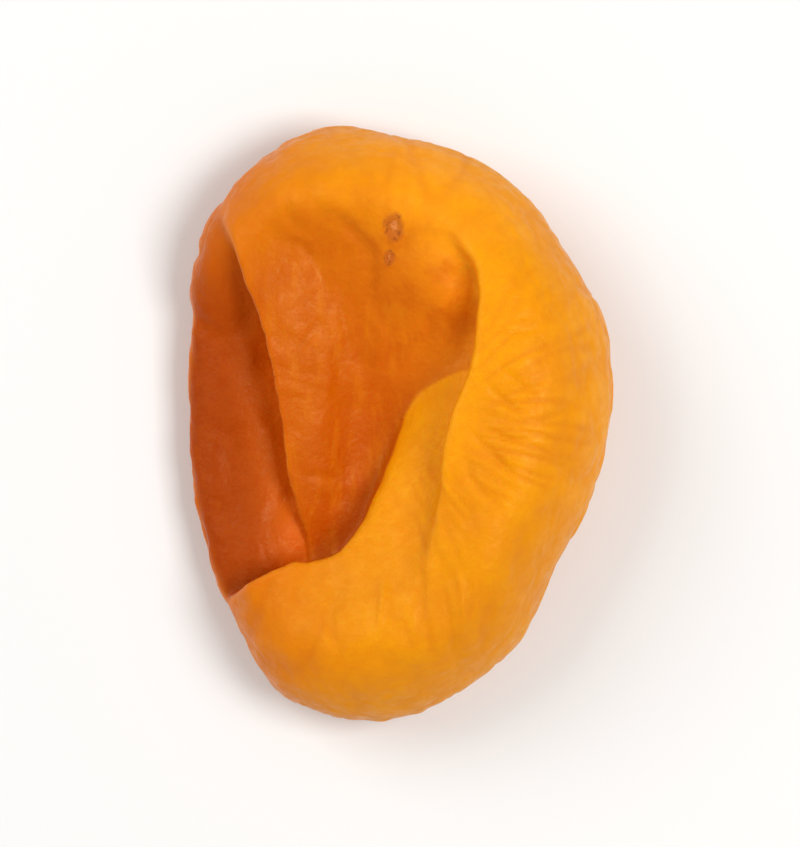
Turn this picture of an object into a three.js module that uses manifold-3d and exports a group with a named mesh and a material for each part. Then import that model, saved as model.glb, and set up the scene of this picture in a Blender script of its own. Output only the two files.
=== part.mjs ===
// A whole pitted dried apricot, lying on its flatter face with the stone hollow upwards.
//
// The fruit was dried whole and its stone squeezed out through a slit on the left side. What is
// left is one piece of flesh: a plump rim that runs in a C round the top, the right side and the
// bottom, a face that sinks from the rim into the stone hollow, and on the left the thin lips of
// the slit. The rim rolls over the hollow's right side in two folds.
//
// Millimetres. +Z is up, +X points from the slit across the hollow to the thick side of the rim,
// and +Y points towards the end with the blossom scar. The origin is under the middle of the fruit.

import * as THREE from "three";
import { mergeVertices } from "three/addons/utils/BufferGeometryUtils.js";
import Module from "manifold-3d";

// Each list that goes round the fruit has one value for each 22.5 degrees, from +X towards +Y.
const SKIN_REACH = [
  16.2, 17.3, 18.5, 20.7, 22.4, 23.5, 21.5, 17.5, 16.8, 17.0, 18.9, 23.0, 22.4, 19.9, 16.5, 15.8,
]; // from the middle out to the skin, seen from above
const WIDEST_HEIGHT = [
  7.2, 7.0, 6.6, 6.2, 5.9, 5.3, 4.5, 3.6, 3.2, 3.3, 3.9, 5.0, 5.8, 6.3, 6.8, 7.1,
]; // how high above the table the skin stands out furthest
const SHOULDER_WIDTH = [
  7.6, 7.4, 7.2, 7.0, 6.8, 6.2, 4.6, 3.2, 2.8, 3.0, 4.4, 6.4, 7.0, 7.2, 7.4, 7.6,
]; // how far in from the outline the side takes to turn into the top

// Lines drawn on the upper side, as x, y and the height of the skin there.
const RIM_CREST = [
  [-13.0, 14.6, 10.4],
  [-9.2, 17.6, 11.6],
  [-3.0, 18.6, 12.3],
  [3.4, 16.8, 13.2],
  [8.0, 12.0, 14.2],
  [9.9, 5.3, 15.0],
  [9.5, -2.0, 15.1],
  [7.4, -8.9, 14.4],
  [3.8, -14.0, 13.4],
  [-1.6, -16.6, 12.6],
  [-6.6, -16.2, 11.2],
  [-9.6, -13.6, 9.6],
];
const VALLEY = [
  [3.4, 13.0, 12.0],
  [5.4, 10.6, 10.9],
  [5.7, 7.6, 10.0],
  [3.6, 4.9, 9.0],
  [-0.4, 2.4, 7.2],
  [-2.2, -2.6, 5.9],
  [-4.2, -7.4, 5.1],
  [-7.0, -9.4, 4.9],
];
const SLIT_CREST = [
  [-15.0, 18.0, 9.6],
  [-12.6, 14.2, 10.2],
  [-10.6, 10.5, 10.4],
  [-9.1, 6.4, 9.9],
  [-8.4, 2.6, 9.2],
  [-7.8, -1.6, 8.2],
  [-7.4, -4.7, 7.2],
  [-7.0, -7.4, 6.2],
  [-6.9, -9.8, 5.4],
  [-7.0, -14.0, 5.0],
];
// The two folds of the rim over the hollow, as x and y along each wall. The rim is on the left of
// a fold's line as it runs here.
const UPPER_FOLD = [
  [1.8, 25.0],
  [2.8, 17.2],
  [4.3, 14.4],
  [6.1, 11.8],
  [6.8, 7.8],
  [6.3, 4.2],
  [4.8, 0.3],
  [3.4, -5.0],
  [2.2, -8.8],
  [1.0, -12.3],
  [-0.4, -25.0],
];
const LOWER_FOLD = [
  [22.0, 7.6],
  [9.2, 5.6],
  [5.2, 4.6],
  [2.2, 3.4],
  [0.6, 1.9],
  [-0.2, -0.4],
  [-0.7, -2.9],
  [-1.4, -5.4],
  [-2.3, -8.0],
  [-4.1, -10.3],
  [-6.7, -11.3],
  [-9.7, -12.4],
  [-14.0, -14.0],
  [-22.0, -17.4],
];
const LINE_SOFTNESS = 0.3; // square of the length below which a line's stretches blur together
const LEVEL_BLEND = 0.8; // how softly the heights of two lines run into each other
const SHELF_DROP = 4.0; // from the rim down to the shelf between the two folds, at its deepest
const SHELF_TOP = 6.0; // y where the shelf is deepest
const SHELF_END = -15.0; // y where it has risen into the rim
const FOLD_FADE = [13.0, 17.0]; // y over which the upper fold dies out in the face
const WALL_WIDTH = 0.8; // half the width of a fold's wall, seen from above
const UPPER_ROLL = 0.5; // how far the upper wall leans over its foot, as a share of its height
const LOWER_ROLL = 0.4; // the same for the lower wall
const ROLL_REACH = 1.5; // how far from the wall that lean is felt
const SLIT_LIP_HEIGHT = 5.2; // top of the lower lip, outside the slit's crest
const SLIT_WALL = 0.8; // half the width of the wall from the lower lip up to the crest
const SLIT_DISH = { depth: 0.7, width: 2.4 }; // how the lower lip sinks towards that wall
const SLIT_LEAN = 1.2; // how far the upper lip leans out over the lower one
const SLIT_LEAN_REACH = 1.0; // how far from the wall that lean is felt
const SLIT_UNDERCUT = 0.3; // how far the wall's foot is drawn in below the upper lip
const SLIT_CLOSE = { from: 6, to: 16, share: 0.85 }; // y over which its lips come nearly together
const RIM_DOME = 0.035; // how fast the rim rounds off on both sides of its crest

// The underside swells softly down to the foot, which lies under the fruit's weight.
const FOOT = [0.6, 0.9];
const FOOT_DEPTH = 0.34; // how far the foot would reach below the table, where it is pressed flat
const FOOT_CALM = 6.0; // distance from the foot within which the relief dies out
const UNDERSIDE_RISE = 1.5; // from the foot up to the underside, well away from it
const UNDERSIDE_SPREAD = 9.0; // how far from the foot most of that rise is done
const DENTS = [
  { x: -7.5, y: 10.0, radius: 5.0, depth: 1.1 },
  { x: 6.5, y: -11.5, radius: 4.6, depth: 0.8 },
]; // where the underside has sunk in

// The skin's relief: soft lumps, and furrows between them where it has shrunk. The top is smoother.
const LUMP = { size: 9.5, height: 0.24, waves: 14, seed: 11 };
const FURROW = { size: 9.0, depth: 0.3, width: 0.7, waves: 14, seed: 29, least: 0.2, full: 0.5 };

const TOP_CALM = { share: 0.35, from: 3, to: 8 }; // the relief's share left on top, and the heights

const MESH_DETAIL = 22; // 20 * 23 * 23 triangles
const SPREADING_ROUNDS = 40; // times that the points are moved towards long edges and bends
const SPREADING_STEP = 0.7; // share of the way that they go each time
const BEND_PULL = 4; // how much more a right-angled bend draws points than a flat stretch
const SOFTENING_ROUNDS = 4; // times that the edges of the folds are rounded
const TABLE_SIZE = 80;
const TAU = Math.PI * 2;

const clamp01 = (t) => Math.min(1, Math.max(0, t));
const ramp = (from, to, v) => {
  const t = clamp01((v - from) / (to - from));
  return t * t * (3 - 2 * t);
};
const mix = (a, b, t) => a + (b - a) * t;
const bell = (v, width) => Math.exp(-((v / width) ** 2));

// A value on a list that goes round the fruit, at an angle in radians.
function around(values, angle) {
  const n = values.length;
  const at = (angle / TAU) * n;
  const i = Math.floor(at);
  const t = at - i;
  const [a, b, c, d] = [-1, 0, 1, 2].map((k) => values[(((i + k) % n) + n) % n]);
  return b + 0.5 * t * (c - a + t * (2 * a - 5 * b + 4 * c - d + t * (3 * (b - c) + d - a)));
}

// A smooth line through the points of a list, as a list of short straight stretches.
function line(points) {
  const smooth = new THREE.CatmullRomCurve3(
    points.map(([x, y, z = 0]) => new THREE.Vector3(x, y, z)),
    false,
    "catmullrom",
    0.5,
  );
  return smooth.getPoints(points.length * 6);
}

// Where a point lies beside a line: how far to its right (negative on its left), the height of
// the line there, the distance, and the direction to the right. Every stretch of the line counts,
// the near ones most, so that nothing jumps inside a bend.
function beside(stretches, x, y) {
  const sum = { right: 0, z: 0, gap: 0, nx: 0, ny: 0 };
  let total = 0;
  for (let i = 0; i + 1 < stretches.length; i += 1) {
    const a = stretches[i];
    const b = stretches[i + 1];
    const [dx, dy] = [x - (a.x + b.x) / 2, y - (a.y + b.y) / 2];
    const long = Math.hypot(b.x - a.x, b.y - a.y);
    const [nx, ny] = [(b.y - a.y) / long, (a.x - b.x) / long];
    const away = dx * dx + dy * dy + LINE_SOFTNESS;
    const weight = long / (away * away * away);
    sum.right += weight * (dx * nx + dy * ny);
    sum.z += weight * (a.z + b.z) * 0.5;
    sum.gap += weight * Math.sqrt(away);
    sum.nx += weight * nx;
    sum.ny += weight * ny;
    total += weight;
  }
  const bent = Math.hypot(sum.nx, sum.ny);
  return {
    right: sum.right / total,
    z: sum.z / total,
    gap: sum.gap / total,
    nx: sum.nx / bent,
    ny: sum.ny / bent,
  };
}

const rimCrest = line(RIM_CREST);
const valley = line(VALLEY);
const slitCrest = line(SLIT_CREST);
const upperFold = line(UPPER_FOLD);
const lowerFold = line(LOWER_FOLD);

// Height of the skin's upper side before the shoulders are rounded, with the lean of the folds.
function upperSide(x, y) {
  const rim = beside(rimCrest, x, y);
  const low = beside(valley, x, y);
  const slit = beside(slitCrest, x, y);
  const upper = beside(upperFold, x, y);
  const lower = beside(lowerFold, x, y);

  const rimTop = rim.z - RIM_DOME * rim.gap * rim.gap;
  let total = 0;
  let share = 0;
  for (const [gap, height] of [
    [rim.gap, rimTop],
    [low.gap, low.z],
    [slit.gap, slit.z],
  ]) {
    const weight = 1 / (gap * gap + LEVEL_BLEND);
    total += weight * height;
    share += weight;
  }
  // The slit's crest runs down the left side of the face, so the face is on its left.
  const blended = total / share;
  const dish = SLIT_DISH.depth * bell(slit.right, SLIT_DISH.width);
  const inside = ramp(-SLIT_WALL, SLIT_WALL, -slit.right);
  const closed = SLIT_CLOSE.share * ramp(SLIT_CLOSE.from, SLIT_CLOSE.to, y);
  const lip = mix(SLIT_LIP_HEIGHT - dish, blended, closed);
  const face = mix(lip, blended, inside);

  const shelf = rimTop - SHELF_DROP * ramp(SHELF_END, SHELF_TOP, y);
  const onShelf = ramp(-WALL_WIDTH, WALL_WIDTH, -lower.right);
  const inner = mix(face, Math.max(shelf, face), onShelf);
  const fade = 1 - ramp(...FOLD_FADE, y);
  const onRim = ramp(-WALL_WIDTH, WALL_WIDTH, -upper.right) * fade;
  const height = mix(inner, rimTop, onRim);

  const lean = (wall, rise) => Math.max(0, rise) * bell(wall.right + WALL_WIDTH, ROLL_REACH);
  const upperLean = UPPER_ROLL * lean(upper, (rimTop - inner) * fade);
  const lowerLean = LOWER_ROLL * lean(lower, shelf - face);
  const gape = clamp01((blended - lip) / 3) * (1 - onShelf);
  const overhang = SLIT_LEAN * bell(slit.right + SLIT_WALL, SLIT_LEAN_REACH);
  const undercut = SLIT_UNDERCUT * bell(slit.right - SLIT_WALL, SLIT_WALL);
  const slitLean = gape * (overhang - undercut);
  return {
    height,
    dx: upperLean * upper.nx + lowerLean * lower.nx + slitLean * slit.nx,
    dy: upperLean * upper.ny + lowerLean * lower.ny + slitLean * slit.ny,
  };
}

function underSide(x, y) {
  const away = Math.hypot(x - FOOT[0], y - FOOT[1]);
  let height = UNDERSIDE_RISE * (1 - bell(away, UNDERSIDE_SPREAD)) - FOOT_DEPTH;
  for (const dent of DENTS)
    height += dent.depth * bell(Math.hypot(x - dent.x, y - dent.y), dent.radius);
  return height;
}

// The place on the skin that answers to a direction.
function skin(direction) {
  const angle = Math.atan2(direction.y, direction.x);
  const reach = around(SKIN_REACH, angle);
  const out = Math.min(1, Math.hypot(direction.x, direction.y));
  const x = Math.cos(angle) * reach * out;
  const y = Math.sin(angle) * reach * out;
  const start = 1 - around(SHOULDER_WIDTH, angle) / reach;
  const turned = clamp01((out - start) / (1 - start));
  const round = Math.sqrt(1 - turned * turned);
  const widest = around(WIDEST_HEIGHT, angle);
  if (direction.z < 0)
    return new THREE.Vector3(x, y, mix(widest, underSide(x, y), round));
  const top = upperSide(x, y);
  return new THREE.Vector3(x + top.dx * round, y + top.dy * round, mix(widest, top.height, round));
}

// Seeded waves in random directions, whose sum is a soft random field of about unit strength.
function waveField({ size, waves, seed }) {
  let state = seed;
  const draw = () => {
    state = (state * 1664525 + 1013904223) % 4294967296;
    return state / 4294967296;
  };
  const all = Array.from({ length: waves }, () => {
    const up = 2 * draw() - 1;
    const turn = TAU * draw();
    const rate = TAU / (size * (0.75 + 0.5 * draw()));
    const flat = Math.sqrt(1 - up * up) * rate;
    return [Math.cos(turn) * flat, Math.sin(turn) * flat, up * rate, TAU * draw()];
  });
  const norm = Math.sqrt(2 / waves);
  return (p) => {
    const found = { value: 0, slope: new THREE.Vector3() };
    for (const [a, b, c, d] of all) {
      const phase = a * p.x + b * p.y + c * p.z + d;
      const lean = norm * Math.cos(phase);
      found.value += norm * Math.sin(phase);
      found.slope.add(new THREE.Vector3(a, b, c).multiplyScalar(lean));
    }
    return found;
  };
}

// A furrow runs wherever a wave field passes through nought, and fades where the field is flat.
function furrowDepth(field, point, { size, depth, width, least, full }) {
  const { value, slope } = field(point);
  const steep = (slope.length() * size) / TAU;
  const away = (Math.abs(value) / (steep + least)) * (size / TAU);
  const fade = steep ** 2 / (steep ** 2 + full ** 2);
  return depth * fade * bell(away, width);
}

// For each point of a mesh, the points that share an edge with it.
function neighbours(index, count) {
  const found = Array.from({ length: count }, () => new Set());
  for (let i = 0; i < index.count; i += 3) {
    const corners = [index.getX(i), index.getX(i + 1), index.getX(i + 2)];
    for (const a of corners) for (const b of corners) if (a !== b) found[a].add(b);
  }
  return found.map((set) => [...set]);
}

const pointAt = (attribute, i) => new THREE.Vector3().fromBufferAttribute(attribute, i);

// Rounds the edges of the folds: each point moves halfway to the middle of its neighbours.
function soften(position, near) {
  for (let round = 0; round < SOFTENING_ROUNDS; round += 1) {
    const old = near.map((_, i) => pointAt(position, i));
    near.forEach((others, i) => {
      const middle = new THREE.Vector3();
      for (const j of others) middle.add(old[j]);
      const place = old[i].clone().lerp(middle.divideScalar(others.length), 0.5);
      position.setXYZ(i, place.x, place.y, place.z);
    });
  }
}

// A mesh over the skin. It starts as an even ball of directions. Each direction then moves towards
// those neighbours that lie far off or round a bend on the skin, which draws points into the folds.
function skinMesh() {
  const ball = new THREE.IcosahedronGeometry(1, MESH_DETAIL);
  ball.deleteAttribute("normal");
  ball.deleteAttribute("uv");
  const surface = mergeVertices(ball, 1e-5);
  const position = surface.attributes.position;
  const near = neighbours(surface.index, position.count);
  let directions = near.map((_, i) => pointAt(position, i).normalize());
  const lay = () =>
    directions.forEach((direction, i) => {
      const place = skin(direction);
      position.setXYZ(i, place.x, place.y, place.z);
    });
  lay();
  for (let round = 0; round < SPREADING_ROUNDS; round += 1) {
    surface.computeVertexNormals();
    const normal = surface.attributes.normal;
    directions = directions.map((direction, i) => {
      const place = pointAt(position, i);
      const facing = pointAt(normal, i);
      const pulled = new THREE.Vector3();
      let total = 0;
      for (const j of near[i]) {
        const bend = 1 - facing.dot(pointAt(normal, j));
        const pull = place.distanceTo(pointAt(position, j)) * (1 + BEND_PULL * bend);
        pulled.addScaledVector(directions[j], pull);
        total += pull;
      }
      return direction.clone().lerp(pulled.divideScalar(total), SPREADING_STEP).normalize();
    });
    lay();
  }
  soften(position, near);
  return surface;
}

function apricotSurface() {
  const surface = skinMesh();
  surface.computeVertexNormals();
  const { position, normal } = surface.attributes;
  const lumps = waveField(LUMP);
  const furrows = waveField(FURROW);
  for (let i = 0; i < position.count; i += 1) {
    const point = pointAt(position, i);
    const calm = bell(Math.hypot(point.x - FOOT[0], point.y - FOOT[1], point.z * 3), FOOT_CALM);
    const relief = LUMP.height * lumps(point).value - furrowDepth(furrows, point, FURROW);
    const kept = mix(1, TOP_CALM.share, ramp(TOP_CALM.from, TOP_CALM.to, point.z)) * (1 - calm);
    point.addScaledVector(pointAt(normal, i), relief * kept);
    position.setXYZ(i, point.x, point.y, point.z);
  }
  return surface;
}

const wasm = await Module();
wasm.setup();

function solid(geometry) {
  const bare = new THREE.BufferGeometry().setAttribute("position", geometry.attributes.position);
  bare.setIndex(geometry.index);
  const merged = mergeVertices(bare, 1e-4);
  return new wasm.Manifold(
    new wasm.Mesh({
      numProp: 3,
      vertProperties: new Float32Array(merged.attributes.position.array),
      triVerts: new Uint32Array(merged.index.array),
    }),
  );
}

function meshGeometry(made) {
  const { vertProperties, triVerts } = made.getMesh();
  const geometry = new THREE.BufferGeometry();
  geometry.setAttribute("position", new THREE.BufferAttribute(vertProperties, 3));
  geometry.setIndex(new THREE.BufferAttribute(triVerts, 1));
  return geometry;
}

// The flesh is pressed flat where it lies on the table.
function pressFlat(surface) {
  const table = new THREE.BoxGeometry(TABLE_SIZE, TABLE_SIZE, TABLE_SIZE);
  table.translate(0, 0, -TABLE_SIZE / 2);
  table.deleteAttribute("normal");
  table.deleteAttribute("uv");
  const geometry = meshGeometry(solid(surface).subtract(solid(table)));
  geometry.computeBoundingBox();
  const middle = geometry.boundingBox.getCenter(new THREE.Vector3());
  return geometry.translate(-middle.x, -middle.y, 0);
}

const flesh = new THREE.Mesh(
  pressFlat(apricotSurface()),
  new THREE.MeshStandardMaterial({ color: 0xf08a14, roughness: 0.45, metalness: 0 }),
);
flesh.geometry.computeVertexNormals();
flesh.name = "apricot";

const apricot = new THREE.Group();
apricot.add(flesh);

export default apricot;
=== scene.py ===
import math

import bmesh
import bpy
import numpy as np
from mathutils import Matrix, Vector


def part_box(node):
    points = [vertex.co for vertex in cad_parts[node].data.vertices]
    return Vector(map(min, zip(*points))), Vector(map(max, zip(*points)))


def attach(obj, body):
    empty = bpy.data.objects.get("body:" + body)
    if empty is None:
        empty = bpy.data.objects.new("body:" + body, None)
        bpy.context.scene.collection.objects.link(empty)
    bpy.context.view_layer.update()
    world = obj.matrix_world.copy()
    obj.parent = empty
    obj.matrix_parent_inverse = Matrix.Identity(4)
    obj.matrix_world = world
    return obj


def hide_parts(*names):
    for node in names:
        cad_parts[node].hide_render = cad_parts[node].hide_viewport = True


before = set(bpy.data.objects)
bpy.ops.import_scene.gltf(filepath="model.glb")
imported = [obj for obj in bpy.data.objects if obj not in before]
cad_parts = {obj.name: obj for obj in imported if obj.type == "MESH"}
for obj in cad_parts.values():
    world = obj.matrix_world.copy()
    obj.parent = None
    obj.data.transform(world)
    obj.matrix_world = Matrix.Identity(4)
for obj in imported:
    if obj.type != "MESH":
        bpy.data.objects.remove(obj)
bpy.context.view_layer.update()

# The flesh: a whole dried apricot whose stone was squeezed out through a slit on the left side.
# It is one leathery, half-clear piece, with a plump rim rolled round an open stone hollow, and
# drying has shrunk its skin into lumps, furrows and fine wrinkles.

# Sizes are in millimetres, as they are worked out. Each list that goes round the fruit has one
# value for each 22.5 degrees, from +X towards +Y.
SKIN_REACH = [
    16.2, 17.3, 18.5, 20.7, 22.4, 23.5, 21.5, 17.5, 16.8, 17.0, 18.9, 23.0, 22.4, 19.9, 16.5, 15.8,
]
WIDEST_HEIGHT = [7.2, 7.0, 6.6, 6.2, 5.9, 5.3, 4.5, 3.6, 3.2, 3.3, 3.9, 5.0, 5.8, 6.3, 6.8, 7.1]
SHOULDER_WIDTH = [7.6, 7.4, 7.2, 7.0, 6.8, 6.2, 4.6, 3.2, 2.8, 3.0, 4.4, 6.4, 7.0, 7.2, 7.4, 7.6]

# Lines on the upper side, as x, y and the height of the skin there.
RIM_CREST = [
    (-13.0, 14.6, 10.4), (-9.2, 17.6, 11.6), (-3.0, 18.6, 12.3), (3.4, 16.8, 13.2),
    (8.0, 12.0, 14.2), (9.9, 5.3, 15.0), (9.5, -2.0, 15.1), (7.4, -8.9, 14.4),
    (3.8, -14.0, 13.4), (-1.6, -16.6, 12.6), (-6.6, -16.2, 11.2), (-9.6, -13.6, 9.6),
]
VALLEY = [
    (3.4, 13.0, 12.0), (5.4, 10.6, 10.9), (5.7, 7.6, 10.0), (3.6, 4.9, 9.0),
    (-0.4, 2.4, 7.2), (-2.2, -2.6, 5.9), (-4.2, -7.4, 5.1), (-7.0, -9.4, 4.9),
]
SLIT_CREST = [
    (-15.0, 18.0, 9.6), (-12.6, 14.2, 10.2), (-10.6, 10.5, 10.4), (-9.1, 6.4, 9.9),
    (-8.4, 2.6, 9.2), (-7.8, -1.6, 8.2), (-7.4, -4.7, 7.2), (-7.0, -7.4, 6.2),
    (-6.9, -9.8, 5.4), (-7.0, -14.0, 5.0),
]
# The walls of the rim's two folds over the hollow. The rim is on the left of each as it runs.
UPPER_FOLD = [
    (1.8, 25.0), (2.8, 17.2), (4.3, 14.4), (6.1, 11.8), (6.8, 7.8), (6.3, 4.2), (4.8, 0.3),
    (3.4, -5.0), (2.2, -8.8), (1.0, -12.3), (-0.4, -25.0),
]
LOWER_FOLD = [
    (22.0, 7.6), (9.2, 5.6), (5.2, 4.6), (2.2, 3.4), (0.6, 1.9), (-0.2, -0.4), (-0.7, -2.9),
    (-1.4, -5.4), (-2.3, -8.0), (-4.1, -10.3), (-6.7, -11.3), (-9.7, -12.4), (-14.0, -14.0),
    (-22.0, -17.4),
]
LINE_STRETCHES = 6  # straight stretches for each point of a line
LINE_SOFTNESS = 0.3  # square of the length below which a line's stretches blur together
LEVEL_BLEND = 0.8  # how softly the heights of two lines run into each other
SHELF_DROP = 4.0  # from the rim down to the shelf between the two folds, at its deepest
SHELF_TOP = 6.0  # y where the shelf is deepest
SHELF_END = -15.0  # y where it has risen into the rim
FOLD_FADE = (13.0, 17.0)  # y over which the upper fold dies out in the face
WALL_WIDTH = 0.6  # half the width of a fold's wall, seen from above
UPPER_ROLL = 0.55  # how far the upper wall leans over its foot, as a share of its height
LOWER_ROLL = 0.42  # the same for the lower wall
ROLL_REACH = 1.5  # how far from the wall that lean is felt
SLIT_LIP_HEIGHT = 5.2  # top of the lower lip, outside the slit's crest
SLIT_WALL = 0.5  # half the width of the wall from the lower lip up to the crest
SLIT_DISH = {"depth": 0.7, "width": 2.4}  # how the lower lip sinks towards that wall
SLIT_LEAN = 1.5  # how far the upper lip leans out over the lower one
SLIT_LEAN_REACH = 1.0  # how far from the wall that lean is felt
SLIT_UNDERCUT = 0.9  # how far the wall's foot is drawn in below the upper lip
SLIT_GAPE = 3.0  # height of the wall at which it leans in full
SLIT_CLOSE = {"from": 6.0, "to": 16.0, "share": 0.85}  # y over which its lips nearly meet
RIM_DOME = 0.035  # how fast the rim rounds off on both sides of its crest
FOOT = (0.6, 0.9)
FOOT_DEPTH = 0.34  # how far the foot would reach below the table, where it is pressed flat
FOOT_CALM = 6.0  # distance from the foot within which the relief dies out
FOOT_CALM_RISE = 3  # how many times a height counts in that distance
UNDERSIDE_RISE = 1.5  # from the foot up to the underside, well away from it
UNDERSIDE_SPREAD = 9.0  # how far from the foot most of that rise is done
DENTS = [
    {"x": -7.5, "y": 10.0, "radius": 5.0, "depth": 1.1},
    {"x": 6.5, "y": -11.5, "radius": 4.6, "depth": 0.8},
]

# Relief of the skin. A field's size is how long its waves are, give or take SIZE_SPREAD.
LUMP = {"size": 9.5, "height": 0.24, "waves": 14, "seed": 11}
FURROW = {
    "size": 9.0, "depth": 0.3, "width": 0.7, "waves": 14, "seed": 29, "least": 0.2, "full": 0.5,
}
TOP_CALM = {"share": 0.35, "from": 3.0, "to": 8.0}  # share of both left on top, and the heights
# Fine puckers run outwards over the rim, and lie together in patches.
PUCKER = {
    "size": 2.6, "depth": 0.1, "width": 0.22, "waves": 20, "seed": 5, "least": 0.3, "full": 0.4,
}
PUCKER_RADIUS = 15.0  # distance from the middle at which they have that size
PUCKER_DRAW = 0.3  # how much they change outwards, next to sideways
PUCKER_PATCH = {"size": 13.0, "waves": 12, "seed": 41}
PUCKER_START = (-0.4, 0.9)  # strengths of the patches' field over which they come up
SIZE_SPREAD = 0.25
# The random numbers come from a linear congruential generator with the usual values.
DRAW_FACTOR = 1664525
DRAW_TERM = 1013904223
DRAW_RANGE = 2**32

# Soft creases and ridges of the upper side: depth, width, and x and y along each. A ridge has a
# negative depth.
CREASES = [
    (0.26, 0.5, [(-5.6, 16.6), (-4.1, 15.4), (-2.7, 13.6), (-2.1, 11.0), (-2.3, 8.8)]),
    (0.22, 0.4, [(-8.8, 14.2), (-7.4, 13.6), (-6.1, 12.0), (-5.6, 10.4)]),
    (0.16, 0.35, [(-4.0, 11.6), (-4.4, 9.0), (-4.0, 6.4), (-4.6, 4.2)]),
    (0.16, 0.35, [(-6.0, 8.0), (-7.6, 5.8), (-8.0, 4.4)]),
    (-0.2, 0.45, [(-1.7, 8.6), (-1.4, 6.2), (-1.8, 3.6)]),
    (0.14, 0.35, [(1.6, 9.4), (2.4, 7.0), (2.0, 4.8)]),
    (-0.13, 0.6, [(-5.8, 6.6), (-5.4, 3.0), (-5.9, -0.6)]),
    (0.12, 0.3, [(-7.6, -3.8), (-5.8, -3.9), (-3.9, -4.2)]),
    (0.3, 0.26, [(5.4, -0.4), (7.0, -2.2), (8.6, -4.0)]),
    (0.26, 0.24, [(6.4, 3.4), (8.3, 1.5), (9.4, 1.0)]),
    (0.22, 0.24, [(7.4, 4.6), (9.4, 2.9), (10.6, 2.6)]),
    (0.24, 0.24, [(6.4, -0.2), (8.4, -1.0), (10.2, -0.9)]),
    (0.22, 0.3, [(5.0, -2.4), (5.8, -4.6), (7.2, -6.0)]),
    (0.14, 0.24, [(7.0, 7.6), (8.6, 7.0), (10.4, 7.4)]),
    (-0.24, 0.3, [(-1.2, -11.4), (-1.3, -13.4), (-1.6, -15.8)]),
    (-0.24, 0.3, [(4.4, -11.0), (4.8, -13.2), (4.9, -16.0)]),
    (0.16, 0.4, [(1.4, -10.4), (1.7, -13.4), (1.2, -16.6)]),
    (0.16, 0.4, [(-5.0, -12.6), (-5.2, -15.0), (-4.6, -17.4)]),
    (0.16, 0.4, [(-9.0, 18.6), (-8.4, 16.0), (-7.0, 14.6)]),
    (0.14, 0.4, [(0.6, 20.0), (0.4, 17.6), (-0.2, 16.2)]),
]
CREASE_TAPER = 0.7  # how bluntly a crease runs out at its ends
CREASE_FULL = 0.3  # depth at which a crease's painted shade is as dark as it gets
FURROW_SHARE = 0.5  # how dark a furrow's painted shade gets next to a crease's
# The blossom scar at the end, and a smaller mark beside it. Each is longer than it is wide, with a
# ring round a pit and a stain over both, whose widths are shares of the radius.
SCARS = [
    {"x": -0.4, "y": 15.1, "radius": 0.7, "height": 0.1, "pit": 0.1},
    {"x": -0.8, "y": 12.8, "radius": 0.4, "height": 0.05, "pit": 0.05},
]
SCAR_LENGTH = 1.4
SCAR_RING = 0.45
SCAR_PIT = 0.6
SCAR_STAIN = 1.1

# Where each shade of the skin starts, and where it is full.
RIM_SHADE = (0.7, 0.98)  # share of the way up a fold's wall
FACE_SHADE = (-1.0, 6.0)  # distance inwards from the rim's crest
HOLLOW_DEPTH_SHADE_SPAN = (10.0, 5.0)  # height: painted shade, darker lower down in the hollow
LIP_LIGHT_SPAN = (SHELF_END, 0.0)  # y
LIP_LIGHT_WIDTH = 1.0  # half the width of the painted light along the upper fold's lip
FOLD_LIGHT_SPAN = (0.0, 8.0)  # y
FOLD_LIGHT_REACH = 6.0  # how far from the upper fold the face is painted lighter, against the fold's shadow
FOLD_LIGHT_PEAK_REACH = 2.2  # how far from it that painted light is strongest
FOLD_LIGHT_WIDE_SHARE = 0.56  # the wider one's share of the two
SLIT_LIGHT_WIDTH = 3.0  # how far from the slit's wall its flank is painted lighter, against the shadow under the upper lip
CLOSED_SHARE = 0.7  # how much of the slit's dark colour is lost where its lips meet
SIDE_SHADE_SPAN = (0.0, -15.0)  # x: painted shade, darker and redder towards the side with the slit, away from the lamp
DULL_SHADE = (-4.0, -13.0)  # y: it is duller towards the lower end
TOP_EDGE = 0.7  # share of the shoulder over which the shades of the upper side fade out
UNDER_EDGE = 0.5  # the same for the underside

BALL_CELLS = 31  # along each side of the cube that the mesh starts from
SPREADING_ROUNDS = 40  # times that the points are moved towards long edges and bends
SPREADING_STEP = 0.7  # share of the way that they go each time
BEND_PULL = 4  # how much more a right-angled bend draws points than a flat stretch
SUBDIVISIONS = 2
SOFTENING_ROUNDS = 6  # times that the edges of the folds are rounded
SOFTENING_STEP = 0.5
POINTS_AT_ONCE = 8000  # keeps the memory small
TAU = 2 * math.pi
MM = 0.001


def ramp(start, end, v):
    t = np.clip((v - start) / (end - start), 0, 1)
    return t * t * (3 - 2 * t)


def mix(a, b, t):
    return a + (b - a) * t


def bell(v, width):
    return np.exp(-((v / width) ** 2))


def around(values, angle):
    """Smooth value at an angle on a list that goes round the fruit."""
    n = len(values)
    at = angle / TAU * n
    i = np.floor(at).astype(int)
    t = at - i
    a, b, c, d = (np.array(values)[(i + k) % n] for k in (-1, 0, 1, 2))
    return b + 0.5 * t * (c - a + t * (2 * a - 5 * b + 4 * c - d + t * (3 * (b - c) + d - a)))


def line(points):
    """A smooth line through points, as the ends of short straight stretches."""
    p = np.array([(*point, 0.0)[:3] for point in points])
    p = np.vstack([2 * p[0] - p[1], p, 2 * p[-1] - p[-2]])
    spans = len(points) - 1
    t = np.linspace(0, spans, len(points) * LINE_STRETCHES + 1)
    i = np.minimum(t.astype(int), spans - 1)
    t = (t - i)[:, None]
    a, b, c, d = (p[i + k] for k in range(4))
    return b + 0.5 * t * (c - a + t * (2 * a - 5 * b + 4 * c - d + t * (3 * (b - c) + d - a)))


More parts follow.
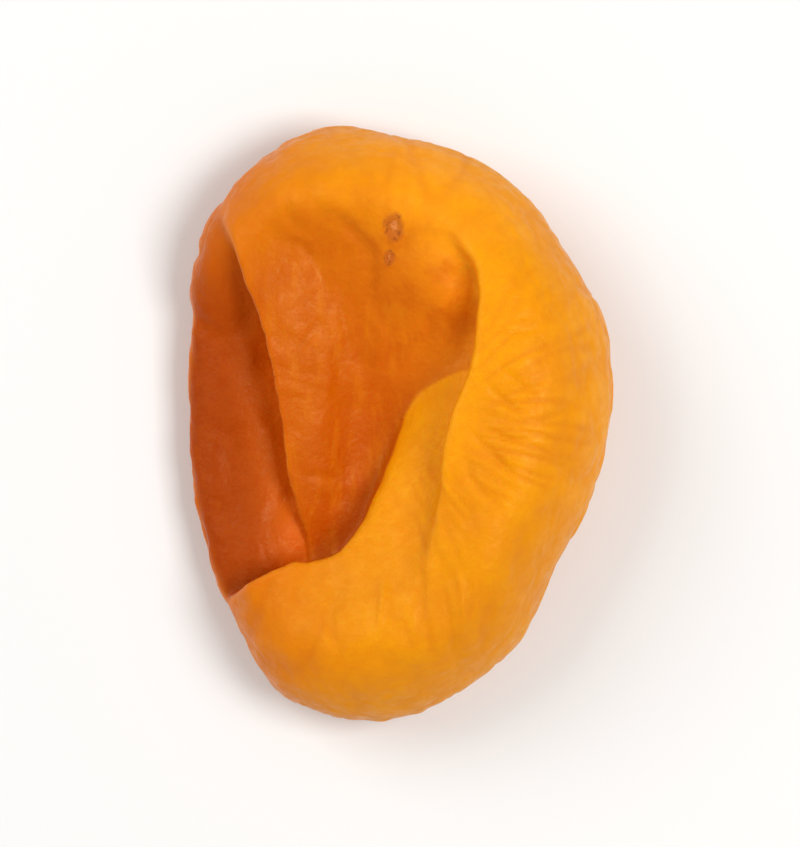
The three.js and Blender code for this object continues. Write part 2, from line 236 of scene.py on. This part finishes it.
def beside(stretches, x, y):
    """How far each point lies to the right of a line, the line's height there, the distance, and
    the direction to the right. All stretches count, the near ones most, so nothing jumps."""
    a, b = stretches[:-1], stretches[1:]
    middle = (a + b) / 2
    long = np.hypot(*(b - a)[:, :2].T)
    nx, ny = (b - a)[:, 1] / long, (a - b)[:, 0] / long
    dx = x[:, None] - middle[:, 0]
    dy = y[:, None] - middle[:, 1]
    away = dx * dx + dy * dy + LINE_SOFTNESS
    weight = long / (away * away * away)
    weight /= weight.sum(1)[:, None]
    right = (weight * (dx * nx + dy * ny)).sum(1)
    gap = (weight * np.sqrt(away)).sum(1)
    direction = np.stack([weight @ nx, weight @ ny], 1)
    direction /= np.linalg.norm(direction, axis=1)[:, None]
    return right, weight @ middle[:, 2], gap, direction


rim_crest, valley, slit_crest, upper_fold, lower_fold = (
    line(points) for points in (RIM_CREST, VALLEY, SLIT_CREST, UPPER_FOLD, LOWER_FOLD)
)


def rolled(right, on_top):
    """The share of a fold's lean that each point has: all of it at the wall's top, none at its
    foot, and less and less of it back from the wall."""
    return on_top * bell(np.minimum(right + WALL_WIDTH, 0), ROLL_REACH)


def upper_side(x, y):
    """The upper side before its shoulders are rounded: height, sideways lean, and the strength of
    each shade of the skin."""
    rim_right, rim_z, rim_gap, _ = beside(rim_crest, x, y)
    _, low_z, low_gap, _ = beside(valley, x, y)
    slit_right, slit_z, slit_gap, slit_way = beside(slit_crest, x, y)
    upper_right, _, _, upper_way = beside(upper_fold, x, y)
    lower_right, _, _, lower_way = beside(lower_fold, x, y)

    rim_top = rim_z - RIM_DOME * rim_gap**2
    near = [1 / (gap**2 + LEVEL_BLEND) for gap in (rim_gap, low_gap, slit_gap)]
    blended = (near[0] * rim_top + near[1] * low_z + near[2] * slit_z) / sum(near)
    dish = SLIT_DISH["depth"] * bell(slit_right, SLIT_DISH["width"])
    inside = ramp(-SLIT_WALL, SLIT_WALL, -slit_right)
    closed = SLIT_CLOSE["share"] * ramp(SLIT_CLOSE["from"], SLIT_CLOSE["to"], y)
    lip_height = mix(SLIT_LIP_HEIGHT - dish, blended, closed)
    face = mix(lip_height, blended, inside)

    shelf = rim_top - SHELF_DROP * ramp(SHELF_END, SHELF_TOP, y)
    on_shelf = ramp(-WALL_WIDTH, WALL_WIDTH, -lower_right)
    inner = mix(face, np.maximum(shelf, face), on_shelf)
    fade = 1 - ramp(*FOLD_FADE, y)
    on_upper = ramp(-WALL_WIDTH, WALL_WIDTH, -upper_right)
    on_rim = on_upper * fade
    height = mix(inner, rim_top, on_rim)

    upper_lean = UPPER_ROLL * np.maximum(0, rim_top - inner) * fade * rolled(upper_right, on_upper)
    lower_lean = LOWER_ROLL * np.maximum(0, shelf - face) * rolled(lower_right, on_shelf)
    gape = np.clip((blended - lip_height) / SLIT_GAPE, 0, 1) * (1 - on_shelf)
    slit_lean = gape * (
        SLIT_LEAN * bell(slit_right + SLIT_WALL, SLIT_LEAN_REACH)
        - SLIT_UNDERCUT * bell(slit_right - SLIT_WALL, SLIT_WALL)
    )
    lean = upper_lean[:, None] * upper_way + lower_lean[:, None] * lower_way
    lean += slit_lean[:, None] * slit_way

    off_rim = 1 - ramp(*RIM_SHADE, on_rim)
    shelf_top = ramp(*RIM_SHADE, on_shelf)
    hollow = off_rim * (1 - shelf_top)
    slit = hollow * (1 - inside)
    fold_painted_light = mix(bell(upper_right, FOLD_LIGHT_PEAK_REACH), bell(upper_right, FOLD_LIGHT_REACH), FOLD_LIGHT_WIDE_SHARE)
    shades = {
        "shelf": shelf_top * off_rim * ramp(SHELF_END, SHELF_TOP, y),
        "face": hollow * inside * ramp(*FACE_SHADE, rim_right),
        # painted light: the face is painted lighter beside the upper fold, against the shadow of
        # its wall
        "pale": hollow * inside * fold_painted_light * ramp(*FOLD_LIGHT_SPAN, y),
        # the slit's darker inner flesh, also painted darker for the shade under the upper lip
        "slit": slit * (1 - CLOSED_SHARE * closed),
        # painted light near the slit's wall, against the shadow under the upper lip
        "slit_painted_light": slit * bell(slit_right, SLIT_LIGHT_WIDTH) * (1 - closed),
        # painted light: the upper fold's lip is painted brighter, standing in for light on its
        # rolled top
        "lip_painted_light": bell(upper_right + LIP_LIGHT_WIDTH, LIP_LIGHT_WIDTH) * fade * ramp(*LIP_LIGHT_SPAN, y),
        # painted shade: darker lower down in the hollow
        "depth": hollow * ramp(*HOLLOW_DEPTH_SHADE_SPAN, height),
    }
    return height, lean, shades


def under_side(x, y):
    from_foot = np.hypot(x - FOOT[0], y - FOOT[1])
    height = UNDERSIDE_RISE * (1 - bell(from_foot, UNDERSIDE_SPREAD)) - FOOT_DEPTH
    for dent in DENTS:
        height += dent["depth"] * bell(np.hypot(x - dent["x"], y - dent["y"]), dent["radius"])
    return height


def skin(directions):
    """The places on the skin that answer to directions, and the regions they lie in."""
    places, regions = [], []
    for way in np.array_split(directions, max(1, len(directions) // POINTS_AT_ONCE)):
        angle = np.arctan2(way[:, 1], way[:, 0])
        reach = around(SKIN_REACH, angle)
        out = np.minimum(1, np.hypot(way[:, 0], way[:, 1]))
        x = np.cos(angle) * reach * out
        y = np.sin(angle) * reach * out
        start = 1 - around(SHOULDER_WIDTH, angle) / reach
        turned = np.clip((out - start) / (1 - start), 0, 1)
        rounded = np.sqrt(1 - turned**2)
        widest = around(WIDEST_HEIGHT, angle)
        height, lean, region = upper_side(x, y)
        above = way[:, 2] >= 0
        lean *= (rounded * above)[:, None]
        z = mix(widest, np.where(above, height, under_side(x, y)), rounded)
        places.append(np.stack([x + lean[:, 0], y + lean[:, 1], z], 1))
        on_top = above * ramp(0, TOP_EDGE, rounded)
        region = {name: shade * on_top for name, shade in region.items()}
        region["above"] = above * rounded
        region["below"] = ~above * ramp(0, UNDER_EDGE, rounded)
        regions.append(region)
    together = {name: np.concatenate([region[name] for region in regions]) for name in regions[0]}
    return np.vstack(places), together


def wave_field(size, waves, seed, **_):
    """Seeded waves in random directions; their sum is a soft random field of unit strength."""
    state = seed

    def draw():
        nonlocal state
        state = (state * DRAW_FACTOR + DRAW_TERM) % DRAW_RANGE
        return state / DRAW_RANGE

    rates, phases = [], []
    for _ in range(waves):
        up = 2 * draw() - 1
        turn = TAU * draw()
        rate = TAU / (size * (1 - SIZE_SPREAD + 2 * SIZE_SPREAD * draw()))
        flat = math.sqrt(1 - up * up) * rate
        rates.append((math.cos(turn) * flat, math.sin(turn) * flat, up * rate))
        phases.append(TAU * draw())
    rates = np.array(rates)
    norm = math.sqrt(2 / waves)

    def field(places):
        phase = places @ rates.T + phases
        return norm * np.sin(phase).sum(1), norm * np.cos(phase) @ rates

    return field


def furrow_depth(field, places, size, depth, width, least, full, **_):
    """A furrow runs wherever a field passes through nought, and fades where the field is flat."""
    value, slope = field(places)
    steep = np.linalg.norm(slope, axis=1) * size / TAU
    away = np.abs(value) / (steep + least) * size / TAU
    return depth * steep**2 / (steep**2 + full**2) * bell(away, width)


def crease_depth(places, path, depth, width):
    """The depth of a crease, which runs out softly at both ends."""
    ends = line(path)[:, :2]
    start, along = ends[:-1], np.diff(ends, axis=0)
    deepest = np.zeros(len(places))
    for i, (corner, step) in enumerate(zip(start, along)):
        from_corner = places[:, :2] - corner
        share = np.clip(from_corner @ step / (step @ step), 0, 1)
        away = np.linalg.norm(from_corner - share[:, None] * step, axis=1)
        taper = np.sin(math.pi * (i + share) / len(start)) ** CREASE_TAPER
        deepest = np.maximum(deepest, taper * bell(away, width))
    return depth * deepest


class Points:
    """A mesh's points as arrays, with the sums over neighbours that moving them needs."""

    def __init__(self, mesh):
        count = len(mesh.vertices)
        self.places = np.zeros(count * 3)
        mesh.vertices.foreach_get("co", self.places)
        self.places = self.places.reshape(-1, 3)
        edges = np.zeros(len(mesh.edges) * 2, int)
        mesh.edges.foreach_get("vertices", edges)
        self.edges = edges.reshape(-1, 2)
        quads = np.zeros(len(mesh.loops), int)
        mesh.loops.foreach_get("vertex_index", quads)
        self.quads = quads.reshape(-1, 4)

    def summed(self, at, amounts):
        """Adds amounts up at the points whose numbers are in at."""
        amounts = amounts.reshape(len(at), -1)
        columns = [np.bincount(at, column, len(self.places)) for column in amounts.T]
        return np.stack(columns, 1)

    def normals(self, places):
        a, b, c, d = (places[self.quads[:, k]] for k in range(4))
        facing = np.cross(c - a, d - b)
        total = sum(self.summed(self.quads[:, k], facing) for k in range(4))
        return total / np.linalg.norm(total, axis=1)[:, None]

    def pulled(self, values, pull):
        """The mean of each point's neighbours, weighted by the pull along the edges."""
        a, b = self.edges.T
        each = pull[:, None]
        total = self.summed(a, values[b] * each) + self.summed(b, values[a] * each)
        return total / (self.summed(a, pull) + self.summed(b, pull))


def unit(vectors):
    return vectors / np.linalg.norm(vectors, axis=1)[:, None]


def ball_of_directions():
    """An even ball, whose points are then drawn into the folds of the skin."""
    grid = bmesh.new()
    bmesh.ops.create_cube(grid, size=2)
    bmesh.ops.subdivide_edges(grid, edges=grid.edges, cuts=BALL_CELLS - 1, use_grid_fill=True)
    mesh = bpy.data.meshes.new("ball")
    grid.to_mesh(mesh)
    grid.free()
    ball = Points(mesh)
    directions = unit(np.tan(ball.places * math.pi / 4))
    for _ in range(SPREADING_ROUNDS):
        places, _regions = skin(directions)
        facing = ball.normals(places)
        a, b = ball.edges.T
        bend = 1 - (facing[a] * facing[b]).sum(1)
        pull = np.linalg.norm(places[a] - places[b], axis=1) * (1 + BEND_PULL * bend)
        directions = unit(mix(directions, ball.pulled(directions, pull), SPREADING_STEP))
    mesh.vertices.foreach_set("co", directions.ravel())
    return mesh


def evaluated_mesh(source, name):
    """The mesh that an object's modifiers make of it; the object is removed."""
    graph = bpy.context.evaluated_depsgraph_get()
    made = bpy.data.meshes.new_from_object(source.evaluated_get(graph))
    made.name = name
    bpy.data.objects.remove(source)
    return made


def shown(name, data):
    made = bpy.data.objects.new(name, data)
    bpy.context.scene.collection.objects.link(made)
    return made


ball = shown("ball", ball_of_directions())
finer = ball.modifiers.new("finer", "SUBSURF")
finer.levels = finer.render_levels = SUBDIVISIONS
mesh = evaluated_mesh(ball, "dried_apricot")
flesh = Points(mesh)
places, regions = skin(unit(flesh.places))
even = np.ones(len(flesh.edges))
for _ in range(SOFTENING_ROUNDS):
    places = mix(places, flesh.pulled(places, even), SOFTENING_STEP)

# The relief lifts or sinks each point along its normal, and dies out where the foot is pressed.
x, y, z = places.T
free = 1 - bell(np.hypot(np.hypot(x - FOOT[0], y - FOOT[1]), z * FOOT_CALM_RISE), FOOT_CALM)
furrow = furrow_depth(wave_field(**FURROW), places, **FURROW)
relief = (LUMP["height"] * wave_field(**LUMP)(places)[0] - furrow) * free
relief *= mix(1, TOP_CALM["share"], ramp(TOP_CALM["from"], TOP_CALM["to"], z))

middle_gap = np.hypot(x, y)
round_rim = places[:, :2] / np.maximum(middle_gap, 1)[:, None] * PUCKER_RADIUS
round_rim = np.column_stack([round_rim, middle_gap * PUCKER_DRAW])
patch = ramp(*PUCKER_START, wave_field(**PUCKER_PATCH)(places)[0]) * free * (1 - regions["slit"])
pucker = furrow_depth(wave_field(**PUCKER), round_rim, **PUCKER) * patch
relief -= pucker

# Painted shade: the colour is darkened in furrows, puckers and creases, where shade falls in them.
crease_shade = np.maximum(FURROW_SHARE * furrow / FURROW["depth"], pucker / PUCKER["depth"])
for deepest, width, path in CREASES:
    depth = crease_depth(places, path, deepest, width) * regions["above"]
    relief -= depth
    crease_shade = np.maximum(crease_shade, depth / CREASE_FULL)

scar = np.zeros(len(places))
for mark in SCARS:
    away = np.hypot(x - mark["x"], (y - mark["y"]) / SCAR_LENGTH) / mark["radius"]
    ring = bell(away - 1, SCAR_RING) * mark["height"] - bell(away, SCAR_PIT) * mark["pit"]
    relief += ring * regions["above"]
    scar = np.maximum(scar, bell(away, SCAR_STAIN) * regions["above"])

shades = {
    **regions,
    "crease_shade": crease_shade,
    "scar": scar,
    "free": free,
    # painted shade towards the slit side
    "side_shade": ramp(*SIDE_SHADE_SPAN, x),
    "dull": ramp(*DULL_SHADE, y),
}
places = places + flesh.normals(places) * relief[:, None]
mesh.vertices.foreach_set("co", (places * MM).ravel())
for name, values in shades.items():
    attribute = mesh.attributes.new(name, "FLOAT", "POINT")
    attribute.data.foreach_set("value", values.astype(np.float32))


class Value:
    """A number in a node tree. Python's operators on it add Math nodes."""

    def __init__(self, tree, socket):
        self.tree = tree
        self.socket = socket

    def math(self, operation, *numbers):
        node = self.tree.node("ShaderNodeMath", {"operation": operation}, dict(enumerate(numbers)))
        return Value(self.tree, node.outputs[0])

    def __add__(self, other):
        return self.math("ADD", self, other)

    def __radd__(self, other):
        return self.math("ADD", other, self)

    def __sub__(self, other):
        return self.math("SUBTRACT", self, other)

    def __rsub__(self, other):
        return self.math("SUBTRACT", other, self)

    def __mul__(self, other):
        return self.math("MULTIPLY", self, other)

    def __rmul__(self, other):
        return self.math("MULTIPLY", other, self)

    def __rtruediv__(self, other):
        return self.math("DIVIDE", other, self)

    def __abs__(self):
        return self.math("ABSOLUTE", self)

    def step(self, start, end):
        """Rises softly from 0 to 1 as the number goes from start to end."""
        settings = {"interpolation_type": "SMOOTHSTEP"}
        node = self.tree.node("ShaderNodeMapRange", settings, {0: self, 1: start, 2: end})
        return Value(self.tree, node.outputs[0])


class Tree:
    """A node tree whose nodes come from one method."""

    def __init__(self, tree):
        self.tree = tree
        tree.nodes.clear()

    def node(self, kind, settings=None, inputs=None):
        made = self.tree.nodes.new(kind)
        for name, setting in (settings or {}).items():
            setattr(made, name, setting)
        for name, given in (inputs or {}).items():
            given = getattr(given, "socket", given)
            if isinstance(given, bpy.types.NodeSocket):
                self.tree.links.new(given, made.inputs[name])
            else:
                made.inputs[name].default_value = given
        return made

    def value(self, kind, settings=None, inputs=None, output=0):
        return Value(self, self.node(kind, settings, inputs).outputs[output])

    def attribute(self, name):
        return self.value("ShaderNodeAttribute", {"attribute_name": name}, output="Fac")

    def noise(self, place, scale, detail, roughness):
        """Noise from 0 to 1, mostly near the middle; scale is in cells to the metre."""
        inputs = {"Vector": place, "Scale": scale, "Detail": detail, "Roughness": roughness}
        return self.value("ShaderNodeTexNoise", None, inputs, "Fac")

    def drawn(self, place, shares):
        """Places whose axes are shortened to shares, which draws a pattern out along them."""
        node = self.node("ShaderNodeVectorMath", {"operation": "MULTIPLY"}, {0: place, 1: shares})
        return node.outputs[0]

    def blend(self, a, b, factor):
        """Colour a, turning into colour b where factor is 1."""
        node = self.node("ShaderNodeMix", {"data_type": "RGBA"}, {0: factor, 6: a, 7: b})
        return node.outputs[2]


def srgb(text):
    """A linear colour from its hexadecimal code."""
    parts = [int(text[i : i + 2], 16) / 255 for i in (0, 2, 4)]
    return (*(p / 12.92 if p <= 0.04045 else ((p + 0.055) / 1.055) ** 2.4 for p in parts), 1.0)


RIM_COLOUR = srgb("F49E04")
LIP_PAINTED_LIGHT_COLOUR = srgb("F6A004")
DULL_COLOUR = srgb("DA8C12")
OUTER_COLOUR = srgb("EA9012")
SHELF_FLESH_AND_LIGHT_COLOUR = srgb("F8A206")
SIDE_SHADE_COLOUR = srgb("D86404")
FACE_FLESH_AND_SHADE_COLOUR = srgb("D46A04")
FACE_PAINTED_LIGHT_COLOUR = srgb("FFA414")
FACE_BLOTCH_AND_SHADE_COLOUR = srgb("C45602")
STREAK_COLOUR = srgb("E6880E")
HOLLOW_FLOOR_SHADE_COLOUR = srgb("C25402")
SLIT_FLESH_AND_SHADE_COLOUR = srgb("A43A00")
SLIT_PAINTED_LIGHT_COLOUR = srgb("E46C08")
SCAR_COLOUR = srgb("B85A20")
SCAR_MIDDLE_COLOUR = srgb("EE9A58")
SPECK_COLOUR = srgb("7A3410")
CREASE_SHADE_AND_MOTTLE_COLOUR = srgb("CC5A06")
SHEEN_COLOUR = srgb("FFD090")
STREAK_DRAW = (1.0, 0.2, 0.6)  # the face's streaks run along the fruit
GRAIN_DEPTH = 0.00008
LEAST_ROUGHNESS = 0.33
ROUGHNESS_SPREAD = 0.2

flesh_finish = bpy.data.materials.new("apricot_flesh")
flesh_finish.use_nodes = True
tree = Tree(flesh_finish.node_tree)
place = tree.node("ShaderNodeTexCoord").outputs["Object"]
long_place = tree.drawn(place, STREAK_DRAW)
patches = tree.noise(place, scale=160.0, detail=3.0, roughness=0.55).step(0.35, 0.68)
mottle = tree.noise(place, scale=1100.0, detail=3.0, roughness=0.6).step(0.3, 0.7)
blotch = tree.noise(place, scale=330.0, detail=3.0, roughness=0.6).step(0.42, 0.66)
streak = tree.noise(long_place, scale=900.0, detail=3.0, roughness=0.6).step(0.45, 0.72)
speck = tree.noise(place, scale=3400.0, detail=1.0, roughness=0.5).step(0.56, 0.64)
grain = tree.noise(place, scale=2600.0, detail=2.0, roughness=0.6) + mottle * 0.8
on_face = tree.attribute("face")
in_side_shade = tree.attribute("side_shade")
scarred = tree.attribute("scar") + mottle * 0.2 - 0.1
stain = scarred.step(0.2, 0.6)

# Each colour lies over those before it, as strongly as the share beside it says.
layers = [
    (OUTER_COLOUR, patches * 0.7),
    # painted light along the upper fold's lip
    (LIP_PAINTED_LIGHT_COLOUR, tree.attribute("lip_painted_light") * 0.8),
    # the shelf's flesh colour, lightened as painted light against the shadow of the overhanging
    # fold
    (SHELF_FLESH_AND_LIGHT_COLOUR, tree.attribute("shelf")),
    (DULL_COLOUR, tree.attribute("dull") * 0.25),
    # painted shade: darker and redder towards the slit side
    (SIDE_SHADE_COLOUR, in_side_shade * 0.7),
    # the hollow's own deeper flesh colour, also darkened as painted shade where the rim hides it
    # from the light
    (FACE_FLESH_AND_SHADE_COLOUR, on_face),
    # painted shade: the face is darker still towards the slit side
    (FACE_BLOTCH_AND_SHADE_COLOUR, in_side_shade * on_face * 0.5),
    # painted shade, darker lower down in the hollow
    (HOLLOW_FLOOR_SHADE_COLOUR, tree.attribute("depth")),
    # painted light beside the upper fold, against its shadow
    (FACE_PAINTED_LIGHT_COLOUR, tree.attribute("pale") * 0.85),
    # the slit's darker flesh, also painted shade under the upper lip
    (SLIT_FLESH_AND_SHADE_COLOUR, tree.attribute("slit")),
    # painted light in the slit near its wall
    (SLIT_PAINTED_LIGHT_COLOUR, tree.attribute("slit_painted_light") * 0.9),
    (FACE_BLOTCH_AND_SHADE_COLOUR, blotch * on_face * 0.45),
    (STREAK_COLOUR, streak * on_face * 0.3),
    # painted shade in the fine wrinkles, over random mottling
    (CREASE_SHADE_AND_MOTTLE_COLOUR, tree.attribute("wrinkle") * 0.2 + mottle * 0.12),
    (CREASE_SHADE_AND_MOTTLE_COLOUR, tree.attribute("crease_shade") * 0.2),
    (SCAR_COLOUR, stain * 0.6),
    (SCAR_MIDDLE_COLOUR, scarred.step(0.8, 0.96) * 0.55),
    (SPECK_COLOUR, stain * speck * 0.5),
]
colour = RIM_COLOUR
for tone, share in layers:
    colour = tree.blend(colour, tone, share)
bumps = {"Strength": 0.5, "Distance": GRAIN_DEPTH, "Height": grain}
bump = tree.node("ShaderNodeBump", None, bumps)
flesh_shader = tree.node(
    "ShaderNodeBsdfPrincipled",
    {"subsurface_method": "RANDOM_WALK"},
    {
        "Base Color": colour,
        "Roughness": mottle * ROUGHNESS_SPREAD + LEAST_ROUGHNESS,
        "Subsurface Weight": 0.4,
        "Subsurface Radius": (1.0, 0.35, 0.08),
        "Subsurface Scale": 0.0016,
        "IOR": 1.42,
        "Specular IOR Level": 0.36,
        "Specular Tint": SHEEN_COLOUR,
        "Normal": bump.outputs[0],
    },
)
tree.node("ShaderNodeOutputMaterial", None, {"Surface": flesh_shader.outputs[0]})

# Fine wrinkles and pores all over the skin. Sizes and depths are in metres. A wrinkle's width is
# the step in its noise that it takes up, and a pore's is a share of the spacing.
SKIN_RELIEF = {
    "Wrinkle size": 0.0028,
    "Wrinkle width": 0.1,
    "Wrinkle depth": 0.00022,
    "Pore spacing": 0.0008,
    "Pore width": 0.45,
    "Pore depth": 0.00003,
    "Seed": 7.0,
}
WRINKLE_DRAW = (1.0, 0.55, 1.0)  # the wrinkles run more along the fruit than across
WRINKLES_AT_SIDE = 0.5  # their strength there, how much less it is on top, and how much more below
WRINKLES_LESS_ABOVE = 0.35
WRINKLES_MORE_BELOW = 0.6


def relief_tree():
    group = bpy.data.node_groups.new("skin_relief", "GeometryNodeTree")
    group.interface.new_socket("Geometry", in_out="INPUT", socket_type="NodeSocketGeometry")
    for name in SKIN_RELIEF:
        group.interface.new_socket(name, in_out="INPUT", socket_type="NodeSocketFloat")
    group.interface.new_socket("Finish", in_out="INPUT", socket_type="NodeSocketMaterial")
    group.interface.new_socket("Geometry", in_out="OUTPUT", socket_type="NodeSocketGeometry")
    tree = Tree(group)
    inlet = tree.node("NodeGroupInput")
    given = {name: Value(tree, inlet.outputs[name]) for name in SKIN_RELIEF}

    # A wrinkle runs wherever the noise passes through its middle, and a pore sinks in each cell.
    place = tree.node("GeometryNodeInputPosition").outputs[0]
    sources = {
        "Vector": tree.drawn(place, WRINKLE_DRAW),
        "W": given["Seed"],
        "Scale": 1 / given["Wrinkle size"],
        "Detail": 2.0,
    }
    waves = tree.value("ShaderNodeTexNoise", {"noise_dimensions": "4D"}, sources, "Fac")
    groove = 1 - abs(waves - 0.5).step(0.0, given["Wrinkle width"])
    sources = {"Vector": place, "W": given["Seed"], "Scale": 1 / given["Pore spacing"]}
    cells = tree.value("ShaderNodeTexVoronoi", {"voronoi_dimensions": "4D"}, sources, "Distance")
    pore = 1 - cells.step(0.0, given["Pore width"])
    named = {"data_type": "FLOAT"}
    free, above, below = (
        tree.value("GeometryNodeInputNamedAttribute", named, {"Name": name})
        for name in ("free", "above", "below")
    )
    strength = WRINKLES_AT_SIDE - above * WRINKLES_LESS_ABOVE + below * WRINKLES_MORE_BELOW
    wrinkle = groove * strength
    sunk = (wrinkle * given["Wrinkle depth"] + pore * given["Pore depth"]) * free

    # The wrinkles' strength is kept for the colour, which paints shade into them.
    noted = tree.node(
        "GeometryNodeStoreNamedAttribute",
        {"data_type": "FLOAT", "domain": "POINT"},
        {"Geometry": inlet.outputs[0], "Name": "wrinkle", "Value": wrinkle},
    )
    normal = tree.node("GeometryNodeInputNormal").outputs[0]
    inwards = {0: normal, "Scale": sunk * -1}
    offset = tree.node("ShaderNodeVectorMath", {"operation": "SCALE"}, inwards).outputs[0]
    shifted = {"Geometry": noted.outputs[0], "Offset": offset}
    moved = tree.node("GeometryNodeSetPosition", None, shifted)
    real = tree.node("GeometryNodeRealizeInstances", None, {0: moved.outputs[0]})
    coat = {"Geometry": real.outputs[0], "Material": inlet.outputs["Finish"]}
    painted = tree.node("GeometryNodeSetMaterial", None, coat)
    tree.node("NodeGroupOutput", None, {0: painted.outputs[0]})
    return group


bare = shown("bare_apricot", mesh)
relief_steps = bare.modifiers.new("relief", "NODES")
relief_steps.node_group = relief_tree()
items = relief_steps.node_group.interface.items_tree
sockets = {item.name: item.identifier for item in items}
for name, setting in {**SKIN_RELIEF, "Finish": flesh_finish}.items():
    relief_steps[sockets[name]] = setting
mesh = evaluated_mesh(bare, "dried_apricot")

# The soft flesh is pressed flat where it lies, and the fruit is set over the solid's own middle.
places = Points(mesh).places
low, high = (np.array(corner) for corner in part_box("apricot"))
places[:, 2] = np.maximum(places[:, 2], 0)
settled = (low + high)[:2] / 2 - (places.min(0) + places.max(0))[:2] / 2
places[:, :2] += settled
mesh.vertices.foreach_set("co", places.ravel())
mesh.polygons.foreach_set("use_smooth", np.ones(len(mesh.polygons), bool))
mesh.update()
apricot = shown("dried_apricot", mesh)
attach(apricot, "root")
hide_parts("apricot")

# The table: a plain pale sheet that the fruit lies on. It isn't part of the object. It is one flat
# face with a dull paper finish.
TABLE_HALF = 0.6
PAPER_COLOUR = srgb("F2F1EF")
PAPER_ROUGHNESS = 0.8

sheet = bmesh.new()
bmesh.ops.create_grid(sheet, x_segments=1, y_segments=1, size=TABLE_HALF)
table_mesh = bpy.data.meshes.new("table")
sheet.to_mesh(table_mesh)
sheet.free()
table = shown("table", table_mesh)
paper = bpy.data.materials.new("pale_paper")
paper.use_nodes = True
tree = Tree(paper.node_tree)
shader = tree.node(
    "ShaderNodeBsdfPrincipled",
    None,
    {"Base Color": PAPER_COLOUR, "Roughness": PAPER_ROUGHNESS},
)
tree.node("ShaderNodeOutputMaterial", None, {"Surface": shader.outputs[0]})
table_mesh.materials.append(paper)

# The light: a soft lamp high on the right, a weaker and broader one on the upper left, and a pale
# room all round. Both lamps face the fruit.
ROOM_STRENGTH = 0.39


def lamp(name, place, size, watts):
    light = bpy.data.lights.new(name, "AREA")
    light.size = size
    light.energy = watts
    made = shown(name, light)
    made.location = place
    made.rotation_euler = (-Vector(place)).to_track_quat("-Z", "Y").to_euler()


lamp("window", place=(0.24, -0.01, 0.48), size=0.22, watts=1.62)
lamp("fill", place=(-0.32, 0.18, 0.38), size=0.35, watts=1.15)
room = bpy.data.worlds.new("pale_room")
room.use_nodes = True
tree = Tree(room.node_tree)
glow = tree.node(
    "ShaderNodeBackground", None, {"Color": srgb("FFFFFF"), "Strength": ROOM_STRENGTH}
)
tree.node("ShaderNodeOutputWorld", None, {"Surface": glow.outputs[0]})
bpy.context.scene.world = room

# The camera looks straight down on the fruit, as the photograph does, through a long lens. It
# takes in FRAME_TALL at two thirds of the fruit's height.
CAMERA_HEIGHT = 0.62
FRAME_LEVEL = 0.01
FRAME_TALL = 0.0645
SENSOR_TALL = 24

lens = bpy.data.cameras.new("camera")
lens.sensor_fit = "VERTICAL"
lens.sensor_height = SENSOR_TALL
lens.lens = SENSOR_TALL * (CAMERA_HEIGHT - FRAME_LEVEL) / FRAME_TALL
camera = shown("camera", lens)
camera.location = (0, 0, CAMERA_HEIGHT)
bpy.context.scene.camera = camera
bpy.context.scene.view_settings.view_transform = "Standard"
